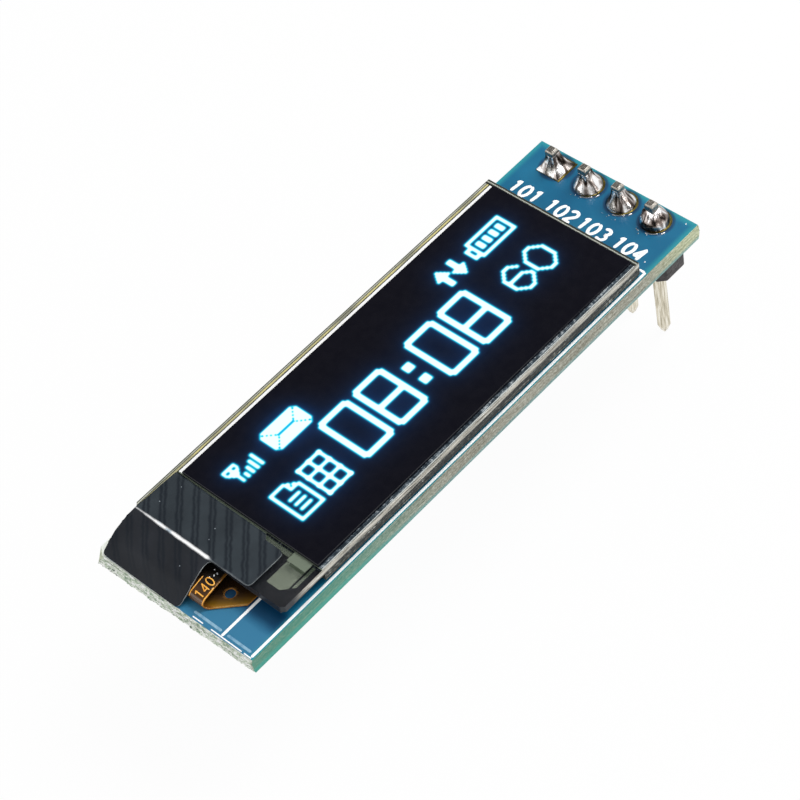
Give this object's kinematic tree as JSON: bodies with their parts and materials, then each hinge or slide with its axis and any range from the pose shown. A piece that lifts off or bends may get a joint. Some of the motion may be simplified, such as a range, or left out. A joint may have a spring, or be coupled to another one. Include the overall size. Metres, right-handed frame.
{
  "type": "oled display module",
  "caption": "Small OLED screen on a narrow blue circuit board, with a folded flexible circuit and tape at one end and a straight pin header below the other.",
  "frame": {"origin": "middle of the pin row, on the lower face of the header body, where a socket meets it", "axes": "+X along the board from the flexible circuit's end to the header end, +Y across the board, +Z out of the screen; the pins point along -Z"},
  "size_m": [0.0383, 0.012, 0.0114],
  "materials": {
    "board_laminate": "glossy blue solder mask over glass-epoxy laminate",
    "land_copper": "plated copper",
    "header_moulding": "moulded black nylon",
    "pin_tin": "tin-plated brass",
    "solder": "reflowed solder",
    "panel_glass": "cut thin glass",
    "polarizer_film": "black circular polarizer film",
    "emitting_film": "evaporated thin films",
    "seal_resin": "cured clear epoxy",
    "getter_sheet": "matt white getter sheet",
    "adhesive_foam": "double-sided tape",
    "track_metal": "thin sputtered metal behind glass",
    "chip_silicon": "bare polished silicon",
    "sealant_resin": "dark cured resin",
    "flex_polyimide": "amber polyimide over copper tracks",
    "shield_tape": "satin black film tape",
    "capacitor_ceramic": "fired brown ceramic",
    "resistor_ceramic": "black glazed top on ceramic",
    "end_tin": "tinned end metal",
    "package_epoxy": "moulded epoxy"
  },
  "bodies": {
    "root": {"circuit_board": "board_laminate", "plated_hole_1": "land_copper", "plated_hole_2": "land_copper", "plated_hole_3": "land_copper", "plated_hole_4": "land_copper", "flex_lands": "land_copper", "part_lands": "land_copper", "header_body": "header_moulding", "header_pin_1": "pin_tin", "header_pin_2": "pin_tin", "header_pin_3": "pin_tin", "header_pin_4": "pin_tin", "regulator_leads": "pin_tin", "solder_joint_1": "solder", "solder_joint_2": "solder", "solder_joint_3": "solder", "solder_joint_4": "solder", "flex_solder": "solder", "part_solder": "solder", "substrate_glass": "panel_glass", "cap_glass": "panel_glass", "polarizer": "polarizer_film", "emitting_layers": "emitting_film", "edge_seal": "seal_resin", "desiccant_sheet": "getter_sheet", "panel_adhesive": "adhesive_foam", "ledge_tracks": "track_metal", "driver_chip": "chip_silicon", "ledge_sealant": "sealant_resin", "flex_circuit": "flex_polyimide", "light_shield_tape": "shield_tape", "capacitor_1": "capacitor_ceramic", "capacitor_2": "capacitor_ceramic", "capacitor_3": "capacitor_ceramic", "capacitor_4": "capacitor_ceramic", "capacitor_5": "capacitor_ceramic", "capacitor_6": "capacitor_ceramic", "capacitor_7": "capacitor_ceramic", "resistor_1": "resistor_ceramic", "resistor_2": "resistor_ceramic", "resistor_3": "resistor_ceramic", "resistor_4": "resistor_ceramic", "capacitor_ends": "end_tin", "resistor_ends": "end_tin", "regulator_body": "package_epoxy"}
  },
  "joints": []
}
